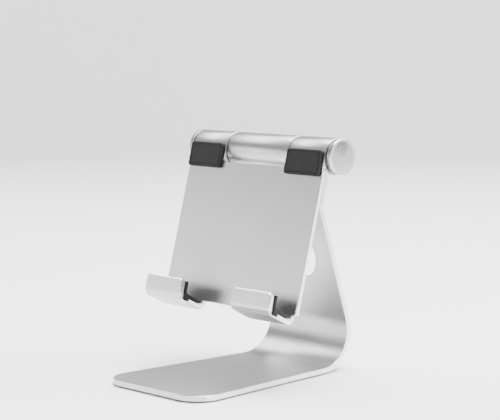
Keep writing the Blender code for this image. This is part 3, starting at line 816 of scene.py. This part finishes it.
def buildEndCaps():
    plan = capPlan
    face, radius, edge, dip = plan["face"], plan["radius"], plan["edge"], plan["ringDepth"]
    rim = radius - edge - plan["facingRing"]
    profile = [(face, 0), (face, rim - plan["ringInner"]), (face - dip, rim)]
    profile += [(face - dip, rim + plan["ringFloor"]), (face, rim + plan["ringOuter"])]
    profile += [(face, radius - edge), (face - edge * 0.25, radius - edge * 0.35)]
    profile += [(face - edge, radius), (plan["discBack"] + plan["backEdge"], radius)]
    profile += [(plan["discBack"], radius - plan["backEdge"]), (plan["discBack"], plan["neckRadius"])]
    profile += [(plan["neckBack"], plan["neckRadius"]), (plan["neckBack"], plan["spigotRadius"])]
    profile += [(plan["spigotEnd"], plan["spigotRadius"]), (plan["spigotEnd"], plan["hollow"])]
    profile += [(plan["discBack"], plan["hollow"]), (plan["discBack"], 0)]
    cap = spinProfile("endCapRight", profile, plan["steps"])
    giveMaterials(cap, metals["spunAluminium"], cutEdge)
    paintFaces(cap, 1, lambda spot, normal: 0.2 < normal.x < 0.95 and spot.x > face - edge)
    bakePlace(cap, cradleFrame)
    for side, piece in (("right", cap), ("left", mirrorCopy(cap, "endCapLeft"))):
        finishPiece(piece, "cradle", "end_cap_" + side, "spun_aluminium", metals["spunAluminium"], cutEdge)


buildEndCaps()

# rubber: back pads, hook liners and feet

padPlan = dict(
    x=(26.7 * mm, 54.0 * mm), y=(-13.3 * mm, -11.1 * mm), z=(-13.9 * mm, 1.1 * mm), corner=1.8 * mm,
    edge=0.5 * mm, frameWidth=0.7 * mm, grooveWidth=0.5 * mm, grooveDepth=0.2 * mm, grooveWall=0.04 * mm,
)


def buildUpperPads():
    plan = padPlan
    pad = addBox("upperPadRight", *zip(plan["x"], plan["y"], plan["z"]))
    startEdit(pad)
    pickEdges(pad, lambda spot, line: abs(line.y) > 0.9)
    bpy.ops.mesh.bevel(offset=plan["corner"], segments=10, affect="EDGES")
    endEdit()
    softenEdges(pad, plan["edge"], 4)
    startEdit(pad)
    pickFaces(pad, lambda spot, normal: normal.y < -0.9999)
    bpy.ops.mesh.inset(thickness=plan["frameWidth"])
    wall, deep = plan["grooveWall"], plan["grooveDepth"]
    for width, depth in ((wall, -deep), (plan["grooveWidth"], 0), (wall, deep)):
        bpy.ops.mesh.inset(thickness=width, depth=depth)
    endEdit()
    bakePlace(pad, cradleFrame)
    for side, piece in (("right", pad), ("left", mirrorCopy(pad, "upperPadLeft"))):
        finishPiece(piece, "cradle", "upper_pad_" + side, "black_rubber", blackRubber)


linerPlan = dict(
    thickness=1.4 * mm, gap=0.3 * mm, back=12.2 * mm, lipTop=-84.884 * mm, fillet=2.2 * mm, tabWall=0.6 * mm,
    tab=(-1.5 * mm, 2.7 * mm), tabHeight=(-2.55 * mm, 0.7 * mm), edge=0.25 * mm, merge=0.004 * mm,
    bendSteps=14, filletSteps=8,
)


def buildHookLiners():
    plan, hook = linerPlan, cradlePlan
    rise, centre = hook["ledgeRise"], hook["frontBend"]
    outer = hook["frontBendRadius"] - hook["halfSheet"] - plan["gap"]
    along, up = Vector((math.cos(rise), -math.sin(rise))), Vector((math.sin(rise), math.cos(rise)))
    bend = arcPoints(centre, outer, -math.pi, -math.pi / 2 - rise, plan["bendSteps"])
    foot = Vector(bend[-1])

    def onLedge(distance, height):
        return tuple(foot + along * distance + up * height)

    thick, inner = plan["thickness"], centre[0] - outer + plan["thickness"]
    start = onLedge(plan["fillet"], thick)
    end = (inner, start[1] + plan["fillet"])
    corner = Vector((inner, start[1] + (start[0] - inner) * math.tan(rise)))

    def onFillet(t):  # a soft corner between ledge and lip
        return tuple(Vector(start) * (1 - t) ** 2 + corner * 2 * t * (1 - t) + Vector(end) * t**2)

    fillet = [onFillet(i / plan["filletSteps"]) for i in range(1, plan["filletSteps"])]
    outline = [(centre[0] - outer, plan["lipTop"]), *bend]
    outline += [onLedge(plan["back"], 0), onLedge(plan["back"], thick)]
    outline += [start, *fillet, end, (inner, plan["lipTop"])]
    reach = plan["gap"] + plan["tabWall"]
    low, high = hook["hookX"][0] - reach, hook["hookX"][1] + reach
    liner = extrudeOutline("hookLinerRight", outline, low, high)
    corners = ((0, 0), (1, 0), (1, 1), (0, 1))
    tab = [onLedge(plan["tab"][a], plan["tabHeight"][b]) for a, b in corners]
    softenEdges(liner, plan["edge"], 3, limit=35)
    for x in (low, high - plan["tabWall"]):
        grip = extrudeOutline("tab", tab, x, x + plan["tabWall"])
        softenEdges(grip, plan["edge"] / 2, 2)
        cutWith(liner, grip, "UNION")
    startEdit(liner)
    bpy.ops.mesh.select_all(action="SELECT")
    bpy.ops.mesh.remove_doubles(threshold=plan["merge"])
    endEdit()
    bakePlace(liner, cradleFrame)
    for side, piece in (("right", liner), ("left", mirrorCopy(liner, "hookLinerLeft"))):
        finishPiece(piece, "cradle", "hook_liner_" + side, "black_rubber", blackRubber)


footPlan = dict(
    radius=6.0 * mm, top=0.7 * mm, edge=0.2 * mm, dish=0.12 * mm, dishFlat=0.55, dishEnd=0.62, steps=72
)


def buildFeet():
    plan = footPlan
    radius, edge, dish = plan["radius"], plan["edge"], plan["dish"]
    profile = [(dish, 0), (dish, radius * plan["dishFlat"]), (0, radius * plan["dishEnd"])]
    profile += [(0, radius - edge), (edge * 0.3, radius - edge * 0.3), (edge, radius)]
    profile += [(plan["top"] - edge / 2, radius), (plan["top"], radius - edge / 2), (plan["top"], 0)]
    pattern = spinProfile("footPattern", profile, plan["steps"])
    upright = Matrix.Rotation(-math.pi / 2, 4, "Y")
    for row in ("front", "rear"):
        for side in ("left", "right"):
            node = f"foot_{row}_{side}"
            low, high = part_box(node)
            middle = Matrix.Translation(((low.x + high.x) / 2, (low.y + high.y) / 2, 0))
            foot = copyPiece(pattern, "foot" + row.title() + side.title(), middle @ upright)
            finishPiece(foot, "stand", node, "black_rubber", blackRubber)
    bpy.data.objects.remove(pattern, do_unlink=True)


buildUpperPads()
buildHookLiners()
buildFeet()
print("rubber pads, liners and feet moulded")

# what stays of the frame: the clamp inside the hinge

insideFinishes = {
    "hinge_shaft": "turnedSteel", "thrust_washer": "turnedSteel", "disc_spring_1": "turnedSteel",
    "disc_spring_2": "turnedSteel", "lock_nut": "turnedSteel", "bush_left": "bearingBronze",
    "bush_right": "bearingBronze", "friction_washer_left": "bearingBronze",
    "friction_washer_right": "bearingBronze",
}
for node, finish in insideFinishes.items():
    part = frame["nodes"][node]
    for place in part.material_slots:
        place.material = metals[finish]
print("inside parts finished:", len(insideFinishes))

# studio: a pale dish of a floor whose upper wall is painted dark as painted shade, soft lamps, and the camera

studioPlan = dict(
    flatRadius=1.7, sweepRadius=0.55, wallTop=0.80, steps=96, sweepSteps=20, target=(0.0, 0.0, 0.07),
    floor=(0.88, 0.88, 0.88), wallPaintedShade=(0.22, 0.22, 0.225), fade=(0.30, 0.60),
    worldLow=(0.33, 0.33, 0.335), worldHigh=(0.7, 0.7, 0.7), worldRise=(0.35, 0.75),
)
lampPlan = {  # place, size and power in watts
    "keyLamp": ((-0.97, 0.02, 1.08), (0.9, 0.45), 8.5),
    "topLamp": ((0.1, 0.3, 1.6), (1.5, 1.3), 125),
    "rearLamp": ((1.1, 1.1, 0.9), (1.0, 0.5), 30),
    "lowLamp": ((-1.15, -1.15, 0.36), (1.0, 0.42), 3.4),
}
cameraPlan = dict(
    place=(0.69083, -0.67385, 0.20738), right=(0.70537, 0.70883, 0.0), up=(-0.07902, 0.07864, 0.99377),
    lens=119.76, sensor=36.0, clip=(0.01, 20.0),
)


def buildFloor():
    plan = studioPlan
    centre = (plan["flatRadius"], plan["sweepRadius"])
    sweep = arcPoints(centre, plan["sweepRadius"], -math.pi / 2, 0, plan["sweepSteps"])
    profile = [(0.0, 0.0)] + sweep + [(plan["flatRadius"] + plan["sweepRadius"], plan["wallTop"])]
    floor = spinProfile("floor", [(height, radius) for radius, height in profile], plan["steps"])
    bakePlace(floor, Matrix.Rotation(-math.pi / 2, 4, "Y"))
    makeActive(floor)
    bpy.ops.object.shade_smooth()
    material, tree, shader, coordinates = startMaterial("palePaper", 0.75, 0.0)
    paper = noise(tree, coordinates, scale=900.0, detail=3.0)
    light = plan["floor"]
    grained = blendColours(tree, paper, tuple(c * 0.985 for c in light), light)
    height = addNode(tree, "ShaderNodeSeparateXYZ")
    tree.links.new(coordinates, height.inputs[0])
    # above 0.3 m the wall fades to dark grey: painted shade standing in for an unlit upper wall
    upper = spread(tree, height.outputs["Z"], *plan["fade"])
    tree.links.new(blendColours(tree, upper, grained, plan["wallPaintedShade"]), shader.inputs["Base Color"])
    floor.data.materials.append(material)


def addLamp(name, place, size, power):
    lamp = bpy.data.lights.new(name, "AREA")
    lamp.shape = "RECTANGLE"
    lamp.size, lamp.size_y = size
    lamp.energy = power
    holder = bpy.data.objects.new(name, lamp)
    bpy.context.scene.collection.objects.link(holder)
    aim = Vector(studioPlan["target"]) - Vector(place)
    holder.location = place
    holder.rotation_euler = aim.to_track_quat("-Z", "Y").to_euler()
    holder.visible_camera = False


def buildWorld():
    world = bpy.data.worlds.new("softRoom")
    bpy.context.scene.world = world
    world.use_nodes = True
    tree = world.node_tree
    background = tree.nodes["Background"]
    height = addNode(tree, "ShaderNodeSeparateXYZ")
    tree.links.new(addNode(tree, "ShaderNodeTexCoord").outputs["Generated"], height.inputs[0])
    rise = spread(tree, height.outputs["Z"], *studioPlan["worldRise"])
    sky = blendColours(tree, rise, studioPlan["worldLow"], studioPlan["worldHigh"])
    tree.links.new(sky, background.inputs["Color"])
    background.inputs["Strength"].default_value = 1.0


def addCamera():
    plan = cameraPlan
    camera = bpy.data.cameras.new("camera")
    camera.lens = plan["lens"]
    camera.sensor_width = plan["sensor"]
    camera.clip_start, camera.clip_end = plan["clip"]
    holder = bpy.data.objects.new("camera", camera)
    bpy.context.scene.collection.objects.link(holder)
    right, up = Vector(plan["right"]), Vector(plan["up"])
    turn = Matrix((right, up, right.cross(up))).transposed().to_4x4()
    holder.matrix_world = Matrix.Translation(plan["place"]) @ turn
    bpy.context.scene.camera = holder


buildFloor()
buildWorld()
for lampName, settings in lampPlan.items():
    addLamp(lampName, *settings)
addCamera()
print("studio set")
